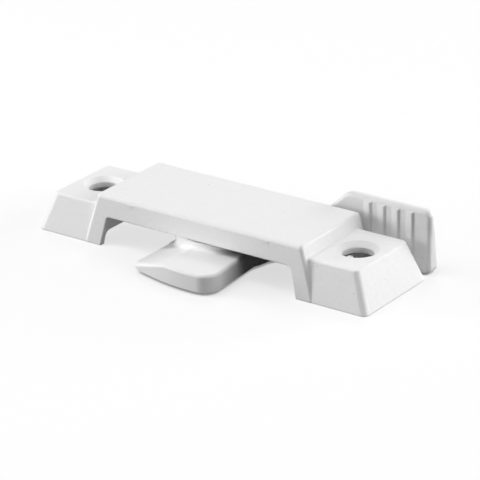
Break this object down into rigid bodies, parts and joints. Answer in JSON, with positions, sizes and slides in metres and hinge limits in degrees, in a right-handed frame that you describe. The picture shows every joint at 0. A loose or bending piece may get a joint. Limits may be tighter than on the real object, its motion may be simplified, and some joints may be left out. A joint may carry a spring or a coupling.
{
  "type": "crescent lock",
  "caption": "Sliding window sash lock: a long cast housing on two screw feet bridges a turning lever with a ramped tongue at the front and an upright ribbed thumb tab behind.",
  "frame": {"origin": "where the lever's pivot axis meets the face of the sash that the housing is screwed to, midway between the two screw holes", "axes": "+X runs along the housing towards the thumb tab, -Y is the side where the tongue reaches out to the keeper, +Z is away from the sash"},
  "size_m": [0.0736, 0.0332, 0.0125],
  "materials": {
    "housing": "satin",
    "lever": "satin",
    "spring_steel": "satin",
    "washer_steel": "bright zinc plate"
  },
  "bodies": {
    "base": {"housing": "housing", "detent_spring": "spring_steel", "wave_washer": "spring_steel", "retaining_washer": "washer_steel"},
    "lever": {"lever": "lever"}
  },
  "joints": [
    {"name": "lever_turn", "type": "hinge", "parent": "base", "child": "lever", "pos_m": [0, 0, 0], "axis": [0, 0, 1], "range_deg": [0, 90]}
  ]
}
